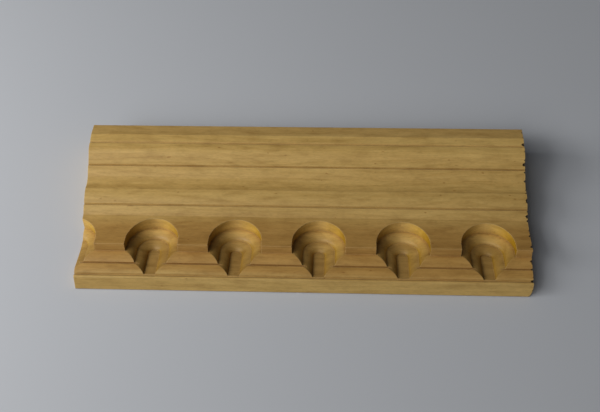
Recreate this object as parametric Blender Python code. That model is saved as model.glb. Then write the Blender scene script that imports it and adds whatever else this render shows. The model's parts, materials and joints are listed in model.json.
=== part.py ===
"""Wood edge slicker: one length of moulded hardwood with a row of stepped pockets along its front.

Metres, +X along the board, -Y the thin front edge, +Z up. The origin is the middle of the underside.
"""

import math

import bmesh
import bpy
from mathutils import Vector

MM = 0.001

# The board
BOARD_LENGTH = 214 * MM
BOARD_WIDTH = 82.5 * MM

# The pockets: one form cutter, plunged with its axis leaning back and fed out through the front edge
POCKET_COUNT = 6
POCKET_PITCH = 39.6 * MM
POCKET_OVERHANG = 4 * MM            # the first pocket's axis lies this far outside the sawn left end
CUTTER_LEAN = math.radians(17)      # the top of the cutter's axis leans towards the back
CUTTER_AXIS_Y = 18.3 * MM           # where the axis meets the channel floor, from the front edge
CUTTER_AXIS_Z = 2.4 * MM
CUTTER_TOP = 24 * MM                # height of the cutter above the channel floor
CUTTER_FEED = 26 * MM               # travel of the cutter, far enough to leave the front edge

# The cutter's corners, from the narrow channel at its tip to the wide rim: radius, height
CUTTER_STEPS = (
    (2.7 * MM, 0.0 * MM),
    (7.6 * MM, 2.5 * MM),
    (12.6 * MM, 5.3 * MM),
)
STEP_ROUNDNESS = 1.7                # 1 is a plain cone between two corners, 2 is a quarter ellipse
STEP_SEGMENTS = 5
CUTTER_SEGMENTS = 28                # round the half turn at the back of a pocket

# The moulded section, run round from the front bottom edge. Each point is its distance back from the
# front edge, its height, and the rise of the arc that leads to it: proud is positive, hollow negative.
SECTION = (
    (0.0, 0.6, 0.0),                # front bottom edge, eased
    (0.6, 0.0, 0.15),
    (82.5, 0.0, 0.0),               # underside
    (82.5, 19.5, 0.0),              # back edge
    (75.8, 20.9, 0.0),              # back bevel
    (71.7, 20.6, 0.0),              # flat fillet
    (71.2, 19.9, 0.0),              # quirk
    (70.6, 20.6, 0.0),
    (65.4, 19.4, 0.5),              # bead, which runs on into a shallow hollow
    (60.7, 16.7, -0.2),
    (60.3, 15.8, 0.0),              # quirk
    (59.7, 16.4, 0.0),
    (55.2, 14.0, 0.15),
    (48.0, 13.9, -0.7),             # wide cove
    (40.9, 11.8, 0.5),              # second bead
    (40.5, 11.0, 0.0),              # quirk
    (39.8, 11.6, 0.0),
    (35.5, 9.6, 0.1),               # fillet down to the valley
    (17.8, 12.7, -0.6),             # hollow ramp, up to the front arris
    (16.4, 8.6, 0.0),               # drop to the front steps
    (10.9, 7.7, 0.3),
    (10.5, 6.8, 0.0),               # quirk between the front steps
    (10.0, 7.6, 0.0),
    (5.4, 6.9, 0.25),
    (4.7, 6.0, 0.0),                # quirk behind the front lip
    (4.0, 6.8, 0.0),
    (3.1, 6.6, 0.1),                # front lip
)
ARC_SEGMENTS = 6

WOOD_COLOUR = (0.46, 0.33, 0.12, 1.0)
WOOD_ROUGHNESS = 0.55


def clear_scene():
    for item in list(bpy.data.objects):
        bpy.data.objects.remove(item, do_unlink=True)


def new_collection(name):
    collection = bpy.data.collections.new(name)
    bpy.context.scene.collection.children.link(collection)
    return collection


def wood_material():
    material = bpy.data.materials.new("slicker_wood")
    material.use_nodes = True
    shader = material.node_tree.nodes["Principled BSDF"]
    shader.inputs["Base Color"].default_value = WOOD_COLOUR
    shader.inputs["Roughness"].default_value = WOOD_ROUGHNESS
    shader.inputs["Metallic"].default_value = 0.0
    return material


def arc_points(start, end, rise):
    """Points after start up to end along an arc that stands off its chord by rise, to the chord's right."""
    if rise == 0.0:
        return [end]
    chord = end - start
    half_angle = 2.0 * math.atan2(2.0 * abs(rise), chord.length)
    radius = chord.length / (2.0 * math.sin(half_angle))
    outward = Vector((chord.y, -chord.x)).normalized() * math.copysign(1.0, rise)
    centre = (start + end) / 2.0 - outward * radius * math.cos(half_angle)
    points = []
    for step in range(1, ARC_SEGMENTS + 1):
        angle = half_angle * (2.0 * step / ARC_SEGMENTS - 1.0)
        along = chord.normalized() * math.sin(angle) * radius
        points.append(centre + along + outward * math.cos(angle) * radius)
    return points


def section_outline():
    """The closed section, as distance back from the front edge and height, in metres."""
    outline = []
    previous = Vector(SECTION[-1][:2]) * MM
    for back, height, rise in SECTION:
        corner = Vector((back, height)) * MM
        outline += arc_points(previous, corner, rise * MM)
        previous = corner
    return outline


def extruded_board(collection):
    """The moulded section as a filled flat curve, given the board's length and turned into a mesh."""
    curve = bpy.data.curves.new("board_section", "CURVE")
    curve.dimensions = "2D"
    curve.fill_mode = "BOTH"
    curve.extrude = BOARD_LENGTH / 2.0
    outline = section_outline()
    spline = curve.splines.new("POLY")
    spline.points.add(len(outline) - 1)
    spline.use_cyclic_u = True
    for point, place in zip(spline.points, outline):
        point.co = (place.x - BOARD_WIDTH / 2.0, place.y, 0.0, 1.0)

    guide = bpy.data.objects.new("board_section", curve)
    guide.rotation_euler = (math.pi / 2.0, 0.0, math.pi / 2.0)
    collection.objects.link(guide)
    bpy.context.view_layer.update()
    mesh = bpy.data.meshes.new_from_object(guide.evaluated_get(bpy.context.evaluated_depsgraph_get()))
    board = bpy.data.objects.new("slicker_board", mesh)
    board.matrix_world = guide.matrix_world.copy()
    bpy.data.objects.remove(guide, do_unlink=True)

    shape = bmesh.new()
    shape.from_mesh(mesh)
    bmesh.ops.remove_doubles(shape, verts=shape.verts, dist=0.00001)
    bmesh.ops.recalc_face_normals(shape, faces=shape.faces)
    shape.to_mesh(mesh)
    shape.free()
    collection.objects.link(board)
    return board


def cutter_profile():
    """The cutter's outline from its axis at the tip, over its rounded steps, to its axis at the top."""
    profile = [(0.0, 0.0), CUTTER_STEPS[0]]
    for (inner, low), (outer, high) in zip(CUTTER_STEPS, CUTTER_STEPS[1:]):
        for step in range(1, STEP_SEGMENTS + 1):
            turn = step / STEP_SEGMENTS * math.pi / 2.0
            out = 1.0 - math.cos(turn) ** (2.0 / STEP_ROUNDNESS)
            up = math.sin(turn) ** (2.0 / STEP_ROUNDNESS)
            profile.append((inner + (outer - inner) * out, low + (high - low) * up))
    rim_radius = CUTTER_STEPS[-1][0]
    return profile + [(rim_radius, CUTTER_TOP), (0.0, CUTTER_TOP)]


def cutter_mesh():
    """Half a turn of the cutter's outline at the back of a pocket, drawn out along its feed."""
    shape = bmesh.new()
    corners = [shape.verts.new((radius, 0.0, height)) for radius, height in cutter_profile()]
    edges = [shape.edges.new(pair) for pair in zip(corners, corners[1:])]
    bmesh.ops.spin(
        shape,
        geom=corners + edges,
        cent=(0.0, 0.0, 0.0),
        axis=(0.0, 0.0, 1.0),
        angle=math.pi,
        steps=CUTTER_SEGMENTS,
    )
    bmesh.ops.remove_doubles(shape, verts=shape.verts, dist=0.00001)
    mouth = [edge for edge in shape.edges if edge.is_boundary]
    drawn = bmesh.ops.extrude_edge_only(shape, edges=mouth)
    front_verts = [item for item in drawn["geom"] if isinstance(item, bmesh.types.BMVert)]
    bmesh.ops.translate(shape, verts=front_verts, vec=(0.0, -CUTTER_FEED, 0.0))
    front_edges = [edge for edge in shape.edges if edge.is_boundary]
    bmesh.ops.holes_fill(shape, edges=front_edges)
    bmesh.ops.recalc_face_normals(shape, faces=shape.faces)
    mesh = bpy.data.meshes.new("pocket_cutter")
    shape.to_mesh(mesh)
    shape.free()
    return mesh


def cut_pockets(board, collection):
    mesh = cutter_mesh()
    first_x = -BOARD_LENGTH / 2.0 - POCKET_OVERHANG
    for index in range(POCKET_COUNT):
        cutter = bpy.data.objects.new(f"pocket_cutter_{index}", mesh)
        cutter.location = (first_x + index * POCKET_PITCH, CUTTER_AXIS_Y - BOARD_WIDTH / 2.0, CUTTER_AXIS_Z)
        cutter.rotation_euler = (-CUTTER_LEAN, 0.0, 0.0)
        cutter.hide_render = True
        cutter.display_type = "WIRE"
        collection.objects.link(cutter)
        cut = board.modifiers.new(f"pocket_{index}", "BOOLEAN")
        cut.operation = "DIFFERENCE"
        cut.solver = "EXACT"
        cut.object = cutter


def build():
    clear_scene()
    parts = new_collection("edge_slicker")
    cutters = new_collection("cutters")
    board = extruded_board(parts)
    board.data.materials.clear()
    board.data.materials.append(wood_material())
    cut_pockets(board, cutters)


build()
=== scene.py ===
"""The looks of the wood edge slicker: one finely finished length of hardwood on a pale studio floor.

Metres, in the CAD model's frame: +X along the board, -Y its thin front edge, +Z up.
"""

import json
import math
import random

import bmesh
import bpy
from mathutils import Euler, Matrix, Vector, noise


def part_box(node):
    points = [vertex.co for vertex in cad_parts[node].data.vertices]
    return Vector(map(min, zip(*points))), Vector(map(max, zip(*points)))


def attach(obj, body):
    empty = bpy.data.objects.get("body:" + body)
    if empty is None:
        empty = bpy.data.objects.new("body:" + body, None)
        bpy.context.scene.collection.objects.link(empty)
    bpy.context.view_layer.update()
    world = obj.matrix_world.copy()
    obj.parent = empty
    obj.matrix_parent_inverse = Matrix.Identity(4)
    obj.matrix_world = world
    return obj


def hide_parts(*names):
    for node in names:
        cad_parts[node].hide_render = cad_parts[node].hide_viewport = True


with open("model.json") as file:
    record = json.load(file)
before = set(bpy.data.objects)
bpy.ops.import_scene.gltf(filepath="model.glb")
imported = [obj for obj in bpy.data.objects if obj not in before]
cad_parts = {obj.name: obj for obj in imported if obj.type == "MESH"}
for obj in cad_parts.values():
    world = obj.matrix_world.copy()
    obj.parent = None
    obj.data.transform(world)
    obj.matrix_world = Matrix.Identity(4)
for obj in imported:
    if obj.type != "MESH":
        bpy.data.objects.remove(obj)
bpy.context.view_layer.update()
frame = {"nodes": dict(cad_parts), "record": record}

MM = 0.001

# The camera: where it stands, how it looks down, and its lens and sensor in millimetres
CAMERA_PLACE = Vector((0.0151, -0.2216, 0.3658))
CAMERA_AZIMUTH = math.radians(4.34)
CAMERA_ELEVATION = math.radians(57.94)
CAMERA_ROLL = math.radians(2.87)
CAMERA_LENS = 51.98
CAMERA_SENSOR = 36.0
CAMERA_NEAR_LIMIT = 10 * MM

# The studio: a pale floor, windows, and the weak light from all round
FLOOR_SIZE = 6.0
FLOOR_COLOUR = (0.58, 0.605, 0.65)
FLOOR_ROUGHNESS = 0.85
FLOOR_SPECULAR = 0.2
DAYLIGHT = (1.0, 0.985, 0.96)
SUN_DISTANCE = 2.0
AIR_COLOUR = (0.86, 0.92, 1.0)
FILL_LEVEL = 0.045
BACKDROP_LEVEL = 0.14               # how light the air above the floor looks to the camera

# The moulded section
SAME_PLACE_DIGITS = 6               # corners that agree to the micrometre are one
END_DEPTH = 0.01 * MM               # the CAD board's end faces lie within this of its end
CREASE_ANGLE = math.radians(9.5)    # a sharper turn between two runs of the section is an arris or a quirk
RUN_STEPS = 5                       # fine steps for each step of the CAD section along a curved run
EASED_RADIUS = 0.28 * MM            # sanded arrises
EASED_STEPS = 4
EASED_TURN_LIMIT = 2.6              # radians, past which an arris is eased no further
EASED_SHARE = 0.35                  # the most of a neighbouring edge that easing takes
MERGE_DISTANCE = 0.004 * MM
SHARP_ANGLE = math.radians(18)

# The pockets: the same form cutter as in the CAD model, turned finer
POCKET_COUNT = 6
CUTTER_LEAN = math.radians(17)      # the top of the cutter's axis leans towards the back
CUTTER_AXIS_Y = 18.3 * MM           # where the axis meets the channel floor, from the front edge
CUTTER_AXIS_Z = 2.4 * MM
CUTTER_TOP = 24 * MM
CUTTER_FEED = 26 * MM
CUTTER_STEPS = (
    (2.7 * MM, 0.0 * MM),
    (7.6 * MM, 2.5 * MM),
    (12.6 * MM, 5.3 * MM),
)
STEP_ROUNDNESS = 1.7                # 1 is a plain cone between two corners, 2 is a quarter ellipse
STEP_SEGMENTS = 14
CUTTER_SEGMENTS = 96
CUTTER_MERGE_DISTANCE = 0.001 * MM

# Chips that the saw tore out of the right end's top arris: distance from the front edge, size
CHIPS = (
    (4.9 * MM, 0.9 * MM),
    (10.6 * MM, 0.8 * MM),
    (14.2 * MM, 0.8 * MM),
    (20.2 * MM, 0.9 * MM),
    (37.2 * MM, 1.0 * MM),
    (44.2 * MM, 1.1 * MM),
    (62.6 * MM, 1.1 * MM),
    (72.2 * MM, 0.9 * MM),
)
SMALL_CHIPS = 20                    # scattered between them
SMALL_CHIP_SIZES = (0.3 * MM, 0.6 * MM)
SMALL_CHIP_SCATTER = (0.15, 0.85)   # where each lies in its own share of the board's width
CHIP_SEED = 7
CHIP_OUTWARD = (-0.1, 0.5)          # how far past the end a chip's middle lies, in chip sizes
CHIP_UPWARD = 0.1                   # how far above the arris it lies, in chip sizes
CHIP_TURN = (-0.4, 0.4)             # radians
CHIP_SUBDIVISIONS = 3
CHIP_LENGTHENING = 1.35             # along the grain
CHIP_FLATTENING = 0.75
CHIP_LUMPS = 1.7                    # lumps in a chip's size
CHIP_LUMP_HEIGHT = 0.35
CHIP_LUMP_SHIFT = 11.3              # keeps one chip's lumps unlike the next one's

# The front right corner, rounded over
CORNER_RADIUS = 2.4 * MM
CORNER_STEPS = 12
CORNER_MARGIN = 1 * MM              # how far its cutter reaches past the board
CORNER_HEIGHT = 12 * MM

# The board's material slots, after the sound wood's, which is 0
TORN_SLOT = 1
POCKET_SLOT = 2

# The wood's colours: dark and light fibre, and what end grain multiplies them by
DARK_WOOD = (0.58, 0.36, 0.102)
LIGHT_WOOD = (0.78, 0.53, 0.178)
SAWN_TINT = (0.94, 0.87, 0.50)
POCKET_TINT = (0.64, 0.56, 0.02)
WOOD_ROUGHNESS = 0.5
# Torn fibre in the chips, darkened near to black: torn wood and painted shadow in the pits
TORN_SHADOW_DARK = (0.04, 0.022, 0.008)
TORN_SHADOW_LIGHT = (0.14, 0.08, 0.026)
TORN_TINT = (0.8, 0.7, 0.5)
TORN_ROUGHNESS = 0.85
WOOD_SPECULAR = 0.4

# Growth rings: their spacing, their pith in front of the board's middle and below it, and how far they bend
RING_SPACING = 2.6 * MM
PITH_FORWARD = 21 * MM
PITH_BELOW = 60 * MM
RING_BEND = 16 * MM
RING_TONES = ((0.0, 0.35), (0.7, 0.62), (0.93, 1.0), (1.0, 0.4))

# Noise in the wood: its scale along X, Y and Z, its detail, its roughness, and its shift if it has one
RING_WAVES = ((9.0, 40.0, 40.0), 2.0, 0.5)
BROAD_FIBRE = ((14.0, 260.0, 260.0), 4.0, 0.6)
FINE_FIBRE = ((45.0, 1500.0, 1500.0), 3.0, 0.6)
SLOW_FIBRE = ((6.0, 22.0, 22.0), 2.0, 0.5, (3.0, 1.0, 2.0))
PORES = ((170.0, 2600.0, 2600.0), 1.0, 0.5)
CLOUDS = ((95.0, 300.0, 300.0), 3.0, 0.6)
FLECKS = ((500.0, 1900.0, 1900.0), 2.0, 0.6)
SPECKS = ((420.0, 900.0, 900.0), 0.0, 0.5, (5.0, 2.0, 7.0))
SAW_LINES = ((60.0, 1500.0, 90.0), 3.0, 0.7)
TORN_FIBRE = ((900.0, 2400.0, 2400.0), 4.0, 0.7)

# What the fibre and the rings have in the wood's tone, and what a sawn end adds for its rings
BROAD_SHARE = 0.45
FINE_SHARE = 0.3
SLOW_SHARE = 0.35
RING_SHARE = 0.18
SAWN_RING_SHARE = 0.16
RING_LIFT = 0.045                   # makes up for part of what the rings take away
SAWN_RING_LIFT = 0.09
TONE_RANGE = (0.32, 0.68)           # the tones of the dark and of the light fibre

# The wood's tone from the front edge of the board, 0, to its back, 1: place, lightness, brownness.
# These levels are painted shade and light, matched band by band to how the light falls on the section:
# darker and browner in front of the middle, and paler towards the back.
BOARD_SHADE_ZONES = (
    (0.00, 0.94, 0.0),
    (0.045, 0.91, 0.1),
    (0.075, 0.75, 0.8),
    (0.20, 0.72, 0.9),
    (0.26, 0.665, 1.0),
    (0.36, 0.72, 0.8),
    (0.46, 0.90, 0.1),
    (0.75, 0.98, 0.1),
    (0.90, 1.04, 0.0),
    (1.00, 1.00, 0.2),
)
# The same along the pockets, as painted shade and light: darker deep in front, and pale on the lit walls at
# the back
POCKET_SHADE_ZONES = (
    (0.05, 0.64, 0.6),
    (0.18, 0.70, 0.5),
    (0.26, 0.86, 0.3),
    (0.31, 0.95, 0.3),
    (0.36, 1.18, 0.0),
)
ZONE_REACH = 41 * MM                # the zones run from this far in front of the middle to as far behind it
ZONE_DRIFT = 12 * MM                # how far their borders wander
BROWN_SHIFT = (0.09, -0.08, -0.24)  # what full brownness adds to red, green and blue
BACK_BEVEL_Y = 34.5 * MM            # behind this arris the bevel along the back is darkened, as painted shade
BACK_BEVEL_BLEND = 0.2 * MM
BACK_BEVEL_SHADE = (0.90, 0.89, 0.92)

# Pores, and the marks that multiply the wood by the tones of a noise: clouds, small flecks, dark specks
PORE_TONES = ((0.0, 0.0), (0.66, 0.0), (0.76, 1.0), (1.0, 1.0))
PORE_STRENGTH = 0.25
PORE_TINT = (0.5, 0.36, 0.2)
MARKS = (
    (CLOUDS, ((0.3, (0.81, 0.78, 0.72)), (0.5, (0.95, 0.95, 0.93)), (0.7, (1.03, 1.03, 1.03)))),
    (FLECKS, ((0.3, 0.86), (0.5, 0.96), (0.72, 1.0))),
    (SPECKS, ((0.81, 1.0), (0.87, (0.72, 0.62, 0.52)))),
)

# End grain: how fast it comes in as a face turns to look along X, for its tint and for its saw marks
END_TINT_POWER = 1.1
SAWN_POWER = 40.0
# Painted light: the faces that look right, away from the windows and in shade, take less of the darkening
# tint
END_TINT_MIDDLE = 0.75              # a face that looks left takes the whole tint, and one that looks right
END_TINT_LIGHT_SWING = -0.25              # takes half of it

# Painted shade in the hollows, and a painted highlight on the arrises, which are made paler
SHADER_SAMPLES = 6
HOLLOW_SHADE_REACH = 2.4 * MM
HOLLOW_SHADE_TONES = ((0.3, 1.0), (0.62, 0.5), (0.93, 0.0))
HOLLOW_SHADE_STRENGTH = 0.78
HOLLOW_SHADE_TINT = (0.45, 0.32, 0.2)
ARRIS_HIGHLIGHT_RADIUS = 0.7 * MM
ARRIS_HIGHLIGHT_GAIN = 6.0
ARRIS_HIGHLIGHT_STRENGTH = 0.35
ARRIS_HIGHLIGHT_TINT = (0.42, 0.34, 0.2)

# Gloss that varies with the fibre, and the relief's shares of fibre, pores, saw lines and torn fibre
GLOSS_VARIATION = 0.25
FINE_RELIEF = 0.6
BROAD_RELIEF = 0.5
PORE_RELIEF = 0.8
SAW_RELIEF = 1.6
TORN_RELIEF = 4.0
RELIEF_STRENGTH = 0.5
RELIEF_HEIGHT = 0.08 * MM
SOFT_EDGE_RADIUS = 0.25 * MM


# The moulded section


def cad_section(mesh, end_x):
    """The CAD board's section, read off its whole right end: a loop of (y, z) corners, seen from +X.

    Two faces of the end run opposite ways along the edge that they share, and only the outline's
    edges have no second face to cancel them.
    """
    following = {}
    for face in mesh.polygons:
        corners = [mesh.vertices[index].co for index in face.vertices]
        if min(corner.x for corner in corners) < end_x - END_DEPTH:
            continue
        keys = [tuple(round(value, SAME_PLACE_DIGITS) for value in corner.yz) for corner in corners]
        for start, end in zip(keys, keys[1:] + keys[:1]):
            if start in following.get(end, ()):
                following[end].remove(start)
            else:
                following.setdefault(start, set()).add(end)
    first = min(key for key, ends in following.items() if ends)
    loop = [first]
    while True:
        onward = next(iter(following[loop[-1]]))
        if onward == first:
            return [Vector(corner) for corner in loop]
        loop.append(onward)


def turn_at(before, here, after):
    """The angle by which the section turns at a corner."""
    incoming = here - before
    outgoing = after - here
    return abs(incoming.angle_signed(outgoing))


def curved_run(run):
    """The points of a run between two creases, joined by smooth cubics with RUN_STEPS steps each."""
    if len(run) < 3:
        return run[:-1]
    padded = [2.0 * run[0] - run[1]] + run + [2.0 * run[-1] - run[-2]]
    points = []
    for before, start, end, after in zip(padded, padded[1:], padded[2:], padded[3:]):
        leave = (end - before) / 2.0
        arrive = (after - start) / 2.0
        for step in range(RUN_STEPS):
            t = step / RUN_STEPS
            points.append(
                (2 * t**3 - 3 * t**2 + 1) * start
                + (t**3 - 2 * t**2 + t) * leave
                + (3 * t**2 - 2 * t**3) * end
                + (t**3 - t**2) * arrive
            )
    return points


def smooth_section(corners):
    """The section with its curved runs made fine and its creases kept."""
    count = len(corners)
    creases = [
        index
        for index in range(count)
        if turn_at(corners[index - 1], corners[index], corners[(index + 1) % count]) > CREASE_ANGLE
    ]
    points = []
    for start, end in zip(creases, creases[1:] + [creases[0] + count]):
        points += curved_run([corners[index % count] for index in range(start, end + 1)])
    return points


def eased_section(corners):
    """The section with each crease rounded by a small arc, as sanding leaves it."""
    count = len(corners)
    points = []
    for index, here in enumerate(corners):
        before = corners[index - 1]
        after = corners[(index + 1) % count]
        turn = turn_at(before, here, after)
        if turn < CREASE_ANGLE:
            points.append(here)
            continue
        back = (before - here).length
        forth = (after - here).length
        wanted = EASED_RADIUS * math.tan(min(turn, EASED_TURN_LIMIT) / 2.0)
        reach = min(wanted, EASED_SHARE * back, EASED_SHARE * forth)
        start = here + (before - here) * (reach / back)
        end = here + (after - here) * (reach / forth)
        for step in range(EASED_STEPS + 1):
            t = step / EASED_STEPS
            points.append((1 - t) ** 2 * start + 2 * t * (1 - t) * here + t**2 * end)
    return points


def top_height(section, y):
    """The highest point of the section at y."""
    heights = []
    for start, end in zip(section, section[1:] + section[:1]):
        if min(start.x, end.x) <= y <= max(start.x, end.x) and start.x != end.x:
            heights.append(start.y + (end.y - start.y) * (y - start.x) / (end.x - start.x))
    return max(heights)


def prism(name, section, low_x, high_x):
    """The section drawn out from low_x to high_x, closed by a face at each end."""
    shape = bmesh.new()
    low = [shape.verts.new((low_x, point.x, point.y)) for point in section]
    high = [shape.verts.new((high_x, point.x, point.y)) for point in section]
    count = len(section)
    for index in range(count):
        follow = (index + 1) % count
        shape.faces.new((low[index], low[follow], high[follow], high[index]))
    shape.faces.new(high)
    shape.faces.new(reversed(low))
    bmesh.ops.recalc_face_normals(shape, faces=shape.faces)
    return mesh_of(shape, name)


def mesh_of(shape, name):
    mesh = bpy.data.meshes.new(name)
    shape.to_mesh(mesh)
    shape.free()
    return mesh


# The cutters


def cutter_profile():
    """The form cutter's outline from its axis at the tip, over its rounded steps, to its axis at the top."""
    profile = [(0.0, 0.0), CUTTER_STEPS[0]]
    for (inner, low), (outer, high) in zip(CUTTER_STEPS, CUTTER_STEPS[1:]):
        for step in range(1, STEP_SEGMENTS + 1):
            turn = step / STEP_SEGMENTS * math.pi / 2.0
            out = 1.0 - math.cos(turn) ** (2.0 / STEP_ROUNDNESS)
            up = math.sin(turn) ** (2.0 / STEP_ROUNDNESS)
            profile.append((inner + (outer - inner) * out, low + (high - low) * up))
    rim_radius = CUTTER_STEPS[-1][0]
    return profile + [(rim_radius, CUTTER_TOP), (0.0, CUTTER_TOP)]


def pocket_mesh():
    """Half a turn of the cutter's outline at the back of a pocket, drawn out along its feed."""
    shape = bmesh.new()
    corners = [shape.verts.new((radius, 0.0, height)) for radius, height in cutter_profile()]
    edges = [shape.edges.new(pair) for pair in zip(corners, corners[1:])]
    bmesh.ops.spin(
        shape,
        geom=corners + edges,
        cent=(0.0, 0.0, 0.0),
        axis=(0.0, 0.0, 1.0),
        angle=math.pi,
        steps=CUTTER_SEGMENTS,
    )
    bmesh.ops.remove_doubles(shape, verts=shape.verts, dist=CUTTER_MERGE_DISTANCE)
    mouth = [edge for edge in shape.edges if edge.is_boundary]
    drawn = bmesh.ops.extrude_edge_only(shape, edges=mouth)
    front_verts = [item for item in drawn["geom"] if isinstance(item, bmesh.types.BMVert)]
    bmesh.ops.translate(shape, verts=front_verts, vec=(0.0, -CUTTER_FEED, 0.0))
    front_edges = [edge for edge in shape.edges if edge.is_boundary]
    bmesh.ops.holes_fill(shape, edges=front_edges)
    bmesh.ops.recalc_face_normals(shape, faces=shape.faces)
    for face in shape.faces:
        face.material_index = POCKET_SLOT
    return mesh_of(shape, "pocket_cutter")


def pocket_places():
    """Where each pocket's cutter stands, from the first: the stated openings give the whole pockets."""
    openings = frame["record"]["physics"]["openings"]
    centres = sorted((opening["box_m"][0][0] + opening["box_m"][1][0]) / 2.0 for opening in openings)
    pitch = centres[1] - centres[0]
    front_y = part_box("slicker_board")[0].y
    sawn_centre = centres[0] - pitch
    return [
        Vector((sawn_centre + index * pitch, front_y + CUTTER_AXIS_Y, CUTTER_AXIS_Z))
        for index in range(POCKET_COUNT)
    ]


def corner_mesh(right_x, front_y):
    """What is taken off the front right corner: an upright square corner less its rounding."""
    plan = []
    for step in range(CORNER_STEPS + 1):
        angle = -math.pi / 2.0 * step / CORNER_STEPS
        x = right_x + CORNER_RADIUS * (math.cos(angle) - 1.0)
        y = front_y + CORNER_RADIUS * (math.sin(angle) + 1.0)
        plan.append((x, y))
    plan.append((right_x - CORNER_RADIUS, front_y - CORNER_MARGIN))
    plan.append((right_x + CORNER_MARGIN, front_y - CORNER_MARGIN))
    plan.append((right_x + CORNER_MARGIN, front_y + CORNER_RADIUS))
    upright = [Vector((y, -x)) for x, y in plan]
    mesh = prism("corner_cutter", upright, -CORNER_MARGIN, CORNER_HEIGHT)
    mesh.transform(Matrix.Rotation(-math.pi / 2.0, 4, "Y"))
    return mesh


def chip_mesh(size, index):
    """A rough pebble, longer along the grain, that takes one chip out of the arris."""
    shape = bmesh.new()
    bmesh.ops.create_icosphere(shape, subdivisions=CHIP_SUBDIVISIONS, radius=size)
    for vert in shape.verts:
        lump = noise.noise(vert.co / size * CHIP_LUMPS + Vector((index * CHIP_LUMP_SHIFT, 0.0, 0.0)))
        vert.co *= 1.0 + CHIP_LUMP_HEIGHT * lump
        vert.co.x *= CHIP_LENGTHENING
        vert.co.z *= CHIP_FLATTENING
    for face in shape.faces:
        face.material_index = TORN_SLOT
    return mesh_of(shape, "chip_cutter")


def chip_places(board_width):
    """Each chip's distance from the front edge and its size, and the generator that drew the small ones."""
    draw = random.Random(CHIP_SEED)
    spacing = board_width / SMALL_CHIPS
    small = [
        ((index + draw.uniform(*SMALL_CHIP_SCATTER)) * spacing, draw.uniform(*SMALL_CHIP_SIZES))
        for index in range(SMALL_CHIPS)
    ]
    return list(CHIPS) + small, draw


def cut(board, name, mesh, place, turn=(0.0, 0.0, 0.0)):
    """Takes a cutter's shape out of the board, and returns the cutter."""
    cutter = bpy.data.objects.new(name, mesh)
    cutter.location = place
    cutter.rotation_euler = turn
    bpy.context.scene.collection.objects.link(cutter)
    step = board.modifiers.new(name, "BOOLEAN")
    step.operation = "DIFFERENCE"
    step.solver = "EXACT"
    step.object = cutter
    return cutter


# Making the board


def give(mesh, materials):
    """Gives a mesh the board's material slots."""
    for material in materials:
        mesh.materials.append(material)
    return mesh


def split_large_faces(shape):
    """Triangulates the faces with more than four corners."""
    bmesh.ops.triangulate(shape, faces=[face for face in shape.faces if len(face.verts) > 4])


def finished_mesh(board):
    """The board's mesh with its cuts made, its corners merged and its curved faces shaded smooth."""
    bpy.context.view_layer.update()
    mesh = bpy.data.meshes.new_from_object(board.evaluated_get(bpy.context.evaluated_depsgraph_get()))
    board.modifiers.clear()
    shape = bmesh.new()
    shape.from_mesh(mesh)
    bmesh.ops.remove_doubles(shape, verts=shape.verts, dist=MERGE_DISTANCE)
    split_large_faces(shape)
    bmesh.ops.dissolve_degenerate(shape, dist=MERGE_DISTANCE, edges=shape.edges)
    split_large_faces(shape)
    shape.to_mesh(mesh)
    shape.free()
    mesh.shade_smooth()
    mesh.set_sharp_from_angle(angle=SHARP_ANGLE)
    return mesh


def make_board(materials):
    """The moulded board with its pockets, its rounded corner and its torn end."""
    low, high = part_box("slicker_board")
    section = eased_section(smooth_section(cad_section(frame["nodes"]["slicker_board"].data, high.x)))
    blank = give(prism("moulded_board", section, low.x, high.x), materials)
    board = bpy.data.objects.new("moulded_board", blank)
    bpy.context.scene.collection.objects.link(board)

    pocket = give(pocket_mesh(), materials)
    cutters = [
        cut(board, f"pocket_{index}", pocket, place, (-CUTTER_LEAN, 0.0, 0.0))
        for index, place in enumerate(pocket_places())
    ]
    cutters.append(cut(board, "rounded_corner", corner_mesh(high.x, low.y), Vector()))
    chips, draw = chip_places(high.y - low.y)
    for index, (back, size) in enumerate(chips):
        y = low.y + back
        z = top_height(section, y) + CHIP_UPWARD * size
        place = (high.x + draw.uniform(*CHIP_OUTWARD) * size, y, z)
        turn = (0.0, 0.0, draw.uniform(*CHIP_TURN))
        cutters.append(cut(board, f"chip_{index}", give(chip_mesh(size, index), materials), place, turn))
    board.data = finished_mesh(board)
    for cutter in cutters:
        bpy.data.objects.remove(cutter, do_unlink=True)
    return board


# Nodes


def node(tree, kind, **settings):
    made = tree.nodes.new(kind)
    for name, value in settings.items():
        setattr(made, name, value)
    return made


def feed(tree, socket, value):
    """Links an output to a socket, or sets the socket's own value."""
    if isinstance(value, bpy.types.NodeSocket):
        tree.links.new(value, socket)
    elif socket.type == "RGBA":
        socket.default_value = (*value, 1.0)
    else:
        socket.default_value = value


def math_node(tree, operation, *values, clamp=False):
    made = node(tree, "ShaderNodeMath", operation=operation, use_clamp=clamp)
    for socket, value in zip(made.inputs, values):
        feed(tree, socket, value)
    return made.outputs["Value"]


def plus(tree, first, second, clamp=False):
    return math_node(tree, "ADD", first, second, clamp=clamp)


def minus(tree, first, second, clamp=False):
    return math_node(tree, "SUBTRACT", first, second, clamp=clamp)


def times(tree, first, second, clamp=False):
    return math_node(tree, "MULTIPLY", first, second, clamp=clamp)


def centred(tree, value):
    """A noise that lies round 0.5, moved to lie round 0."""
    return minus(tree, value, 0.5)


def noise_at(tree, place, scale, detail, roughness, shift=(0.0, 0.0, 0.0)):
    """Noise over the place, stretched by a scale for each axis."""
    mapping = node(tree, "ShaderNodeMapping")
    mapping.inputs["Scale"].default_value = scale
    mapping.inputs["Location"].default_value = shift
    tree.links.new(place, mapping.inputs["Vector"])
    made = node(tree, "ShaderNodeTexNoise")
    made.inputs["Scale"].default_value = 1.0
    made.inputs["Detail"].default_value = detail
    made.inputs["Roughness"].default_value = roughness
    tree.links.new(mapping.outputs["Vector"], made.inputs["Vector"])
    return made.outputs["Fac"]


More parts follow.
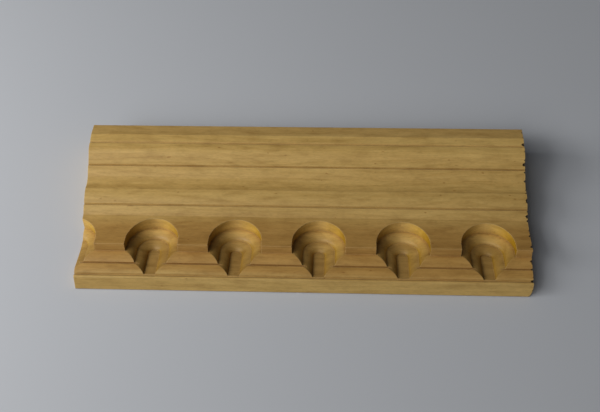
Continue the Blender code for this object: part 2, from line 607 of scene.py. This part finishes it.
def ramp(tree, value, stops):
    """Colours by value. A stop is a position and a colour, or a position and a grey level."""
    made = node(tree, "ShaderNodeValToRGB")
    elements = made.color_ramp.elements
    while len(elements) < len(stops):
        elements.new(0.5)
    for element, (position, colour) in zip(elements, stops):
        element.position = position
        element.color = (*colour, 1.0) if isinstance(colour, tuple) else (colour, colour, colour, 1.0)
    tree.links.new(value, made.inputs["Fac"])
    return made.outputs["Color"]


def rise(tree, value, low, high):
    """0 up to low, 1 from high."""
    made = node(tree, "ShaderNodeMapRange")
    made.inputs["From Min"].default_value = low
    made.inputs["From Max"].default_value = high
    tree.links.new(value, made.inputs["Value"])
    return made.outputs["Result"]


def mixed(tree, blend_type, factor, first, second):
    made = node(tree, "ShaderNodeMix", data_type="RGBA", blend_type=blend_type)
    inputs = {socket.identifier: socket for socket in made.inputs}
    outputs = {socket.identifier: socket for socket in made.outputs}
    feed(tree, inputs["Factor_Float"], factor)
    feed(tree, inputs["A_Color"], first)
    feed(tree, inputs["B_Color"], second)
    return outputs["Result_Color"]


def tinted(tree, factor, colour, tint):
    return mixed(tree, "MULTIPLY", factor, colour, tint)


def bevelled_normal(tree, radius):
    """The normal as it would be with every edge rounded to the radius."""
    made = node(tree, "ShaderNodeBevel", samples=SHADER_SAMPLES)
    made.inputs["Radius"].default_value = radius
    return made.outputs["Normal"]


# The wood


def ring_tone(tree, place, apart):
    """Growth rings: cylinders round a pith below the board, bent by slow waves along it."""
    bend = times(tree, centred(tree, noise_at(tree, place, *RING_WAVES)), RING_BEND)
    across = plus(tree, plus(tree, apart["Y"], PITH_FORWARD), bend)
    depth = plus(tree, plus(tree, apart["Z"], PITH_BELOW), bend)
    squares = plus(tree, times(tree, across, across), times(tree, depth, depth))
    radius = math_node(tree, "SQRT", squares)
    rings = math_node(tree, "FRACT", times(tree, radius, 1.0 / RING_SPACING))
    return ramp(tree, rings, RING_TONES)


def end_masks(tree):
    """How much of the end grain's tint a face takes, and how far it is a sawn end, from where it looks. A
    face that looks right takes half the tint, as painted light on the side away from the windows.
    """
    facing = node(tree, "ShaderNodeSeparateXYZ")
    tree.links.new(node(tree, "ShaderNodeNewGeometry").outputs["True Normal"], facing.inputs["Vector"])
    along = math_node(tree, "ABSOLUTE", facing.outputs["X"])
    side = math_node(tree, "SIGN", facing.outputs["X"])
    share = math_node(tree, "MULTIPLY_ADD", side, END_TINT_LIGHT_SWING, END_TINT_MIDDLE)
    end_grain_and_side_light = times(tree, math_node(tree, "POWER", along, END_TINT_POWER), share)
    return end_grain_and_side_light, math_node(tree, "POWER", along, SAWN_POWER)


def fibre_tone(tree, broad, fine, slow, rings, sawn):
    """One tone out of the streaks and the rings."""
    streaks = plus(tree, times(tree, fine, FINE_SHARE), times(tree, slow, SLOW_SHARE))
    tone = plus(tree, times(tree, broad, BROAD_SHARE), streaks)
    ring_share = math_node(tree, "MULTIPLY_ADD", sawn, SAWN_RING_SHARE, RING_SHARE)
    ring_lift = math_node(tree, "MULTIPLY_ADD", sawn, SAWN_RING_LIFT, RING_LIFT)
    return plus(tree, minus(tree, tone, times(tree, rings, ring_share)), ring_lift)


def painted_zone_shade(tree, across, slow, shade_zones):
    """Painted shade and light: the slow change of tone from front to back, with borders that wander along
    the grain.
    """
    drift = times(tree, centred(tree, slow), ZONE_DRIFT)
    stops = [
        (position, tuple(level * (1.0 + shift * brownness) for shift in BROWN_SHIFT))
        for position, level, brownness in shade_zones
    ]
    return ramp(tree, rise(tree, plus(tree, across, drift), -ZONE_REACH, ZONE_REACH), stops)


def painted_shade_mask(tree):
    """Painted shade: the quirks and the pocket corners are darkened where ambient occlusion finds a hollow.
    """
    hollow = node(tree, "ShaderNodeAmbientOcclusion", samples=SHADER_SAMPLES)
    hollow.inputs["Distance"].default_value = HOLLOW_SHADE_REACH
    return ramp(tree, hollow.outputs["AO"], HOLLOW_SHADE_TONES)


def painted_highlight_mask(tree, hollow_shade):
    """Painted highlight: the open arrises are made paler where a rounded edge's normal leaves the real one,
    less so in the painted shade of the hollows.
    """
    agreement = node(tree, "ShaderNodeVectorMath", operation="DOT_PRODUCT")
    tree.links.new(bevelled_normal(tree, ARRIS_HIGHLIGHT_RADIUS), agreement.inputs[0])
    tree.links.new(node(tree, "ShaderNodeNewGeometry").outputs["Normal"], agreement.inputs[1])
    turned = minus(tree, 1.0, agreement.outputs["Value"], clamp=True)
    turned = times(tree, turned, ARRIS_HIGHLIGHT_GAIN, clamp=True)
    return times(tree, turned, minus(tree, 1.0, hollow_shade, clamp=True))


def relief_normal(tree, place, broad, fine, pores, sawn, torn):
    """The normal with softened edges, fibre, pores, saw marks on the ends, and torn fibre in a chip."""
    relief = plus(tree, times(tree, fine, FINE_RELIEF), times(tree, broad, BROAD_RELIEF))
    relief = minus(tree, relief, times(tree, pores, PORE_RELIEF))
    saw_lines = times(tree, noise_at(tree, place, *SAW_LINES), sawn)
    relief = plus(tree, relief, times(tree, saw_lines, SAW_RELIEF))
    if torn:
        relief = plus(tree, relief, times(tree, noise_at(tree, place, *TORN_FIBRE), TORN_RELIEF))
    bump = node(tree, "ShaderNodeBump")
    bump.inputs["Strength"].default_value = RELIEF_STRENGTH
    bump.inputs["Distance"].default_value = RELIEF_HEIGHT
    tree.links.new(relief, bump.inputs["Height"])
    tree.links.new(bevelled_normal(tree, SOFT_EDGE_RADIUS), bump.inputs["Normal"])
    return bump.outputs["Normal"]


def wood(name, dark, light, end_tint, roughness, shade_zones, torn=False):
    """Hardwood with its grain along X: growth rings, fibre, pores, end grain, painted shade in the hollows
    and a painted highlight on the arrises.
    """
    material = bpy.data.materials.new(name)
    material.use_nodes = True
    tree = material.node_tree
    shader = tree.nodes["Principled BSDF"]
    place = node(tree, "ShaderNodeTexCoord").outputs["Object"]
    split = node(tree, "ShaderNodeSeparateXYZ")
    tree.links.new(place, split.inputs["Vector"])
    apart = split.outputs
    end_grain_and_side_light, sawn = end_masks(tree)

    broad = noise_at(tree, place, *BROAD_FIBRE)
    fine = noise_at(tree, place, *FINE_FIBRE)
    slow = noise_at(tree, place, *SLOW_FIBRE)
    pores = ramp(tree, noise_at(tree, place, *PORES), PORE_TONES)
    tone = fibre_tone(tree, broad, fine, slow, ring_tone(tree, place, apart), sawn)
    colour = ramp(tree, tone, tuple(zip(TONE_RANGE, (dark, light))))
    colour = tinted(tree, times(tree, pores, PORE_STRENGTH), colour, PORE_TINT)

    # painted shade and light across the section, band by band
    colour = tinted(tree, 1.0, colour, painted_zone_shade(tree, apart["Y"], slow, shade_zones))
    # painted shade on the back bevel, which tilts away from the light
    back_bevel_shade = rise(tree, apart["Y"], BACK_BEVEL_Y - BACK_BEVEL_BLEND, BACK_BEVEL_Y + BACK_BEVEL_BLEND)
    colour = tinted(tree, back_bevel_shade, colour, BACK_BEVEL_SHADE)
    for noise_settings, tones in MARKS:
        colour = tinted(tree, 1.0, colour, ramp(tree, noise_at(tree, place, *noise_settings), tones))
    # end grain's tint, less on the faces that look right as painted light
    colour = tinted(tree, end_grain_and_side_light, colour, end_tint)

    # painted shade: the colour is darkened in the quirks and the pocket corners
    hollow_shade = painted_shade_mask(tree)
    colour = tinted(tree, times(tree, hollow_shade, HOLLOW_SHADE_STRENGTH), colour, HOLLOW_SHADE_TINT)
    # painted highlight: the open arrises are screened paler
    arris_highlight = times(tree, painted_highlight_mask(tree, hollow_shade), ARRIS_HIGHLIGHT_STRENGTH)
    colour = mixed(tree, "SCREEN", arris_highlight, colour, ARRIS_HIGHLIGHT_TINT)
    tree.links.new(colour, shader.inputs["Base Color"])

    variation = times(tree, centred(tree, fine), GLOSS_VARIATION)
    tree.links.new(plus(tree, roughness, variation, clamp=True), shader.inputs["Roughness"])
    shader.inputs["Specular IOR Level"].default_value = WOOD_SPECULAR
    normal = relief_normal(tree, place, broad, fine, pores, sawn, torn)
    tree.links.new(normal, shader.inputs["Normal"])
    return material


# The studio


def floor_material():
    material = bpy.data.materials.new("pale_floor")
    material.use_nodes = True
    shader = material.node_tree.nodes["Principled BSDF"]
    shader.inputs["Base Color"].default_value = (*FLOOR_COLOUR, 1.0)
    shader.inputs["Roughness"].default_value = FLOOR_ROUGHNESS
    shader.inputs["Specular IOR Level"].default_value = FLOOR_SPECULAR
    return material


def make_floor():
    bpy.ops.mesh.primitive_plane_add(size=FLOOR_SIZE, location=(0.0, 0.0, 0.0))
    floor = bpy.context.object
    floor.name = "studio_floor"
    floor.data.materials.append(floor_material())


def place_light(light, azimuth, elevation, distance):
    """Aims a light at the board. Azimuth 0 is towards -Y, and -90 towards -X."""
    lamp = bpy.data.objects.new(light.name, light)
    azimuth = math.radians(azimuth)
    elevation = math.radians(elevation)
    level = math.cos(elevation)
    toward = Vector((math.sin(azimuth) * level, -math.cos(azimuth) * level, math.sin(elevation)))
    lamp.location = toward * distance
    lamp.rotation_euler = toward.to_track_quat("Z", "Y").to_euler()
    bpy.context.scene.collection.objects.link(lamp)


def make_window(name, azimuth, elevation, distance, size, power):
    """A square soft light that faces the board."""
    light = bpy.data.lights.new(name, "AREA")
    light.size = size
    light.energy = power
    light.color = DAYLIGHT
    place_light(light, azimuth, elevation, distance)


def make_sky(name, azimuth, elevation, spread, strength):
    """Very soft light from far away, which falls evenly on the whole floor."""
    light = bpy.data.lights.new(name, "SUN")
    light.angle = math.radians(spread)
    light.energy = strength
    light.color = DAYLIGHT
    place_light(light, azimuth, elevation, SUN_DISTANCE)


def make_air():
    """The weak light from all round, which looks lighter to the camera than it lights the board."""
    world = bpy.data.worlds.new("studio")
    world.use_nodes = True
    tree = world.node_tree
    background = tree.nodes["Background"]
    background.inputs["Color"].default_value = (*AIR_COLOUR, 1.0)
    seen = node(tree, "ShaderNodeLightPath").outputs["Is Camera Ray"]
    strength = math_node(tree, "MULTIPLY_ADD", seen, BACKDROP_LEVEL - FILL_LEVEL, FILL_LEVEL)
    tree.links.new(strength, background.inputs["Strength"])
    bpy.context.scene.world = world
    bpy.context.scene.view_settings.view_transform = "Standard"


def make_camera():
    camera = bpy.data.objects.new("camera", bpy.data.cameras.new("camera"))
    camera.data.lens = CAMERA_LENS
    camera.data.sensor_width = CAMERA_SENSOR
    camera.data.clip_start = CAMERA_NEAR_LIMIT
    camera.location = CAMERA_PLACE
    level = Euler((math.pi / 2.0 - CAMERA_ELEVATION, 0.0, CAMERA_AZIMUTH)).to_matrix()
    camera.rotation_euler = (level @ Matrix.Rotation(-CAMERA_ROLL, 3, "Z")).to_euler()
    bpy.context.scene.collection.objects.link(camera)
    bpy.context.scene.camera = camera


def make_scene():
    sound = wood("slicker_wood", DARK_WOOD, LIGHT_WOOD, SAWN_TINT, WOOD_ROUGHNESS, BOARD_SHADE_ZONES)
    # the chips' torn faces, near black as painted shadow
    torn = wood("torn_wood_painted_shadow", TORN_SHADOW_DARK, TORN_SHADOW_LIGHT, TORN_TINT, TORN_ROUGHNESS, BOARD_SHADE_ZONES, torn=True)
    cut_wood = wood("pocket_wood", DARK_WOOD, LIGHT_WOOD, POCKET_TINT, WOOD_ROUGHNESS, POCKET_SHADE_ZONES)
    board = make_board([sound, torn, cut_wood])
    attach(board, "root")
    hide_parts("slicker_board")
    even = board.modifiers.new("even_normals", "WEIGHTED_NORMAL")
    even.keep_sharp = True
    make_floor()
    make_window("window_left", azimuth=-86, elevation=29, distance=0.68, size=0.26, power=1.95)
    make_window("window_middle", azimuth=-62, elevation=42, distance=0.85, size=0.34, power=2.05)
    make_sky("window_front", azimuth=-34, elevation=40, spread=38, strength=0.58)
    make_air()
    make_camera()


make_scene()
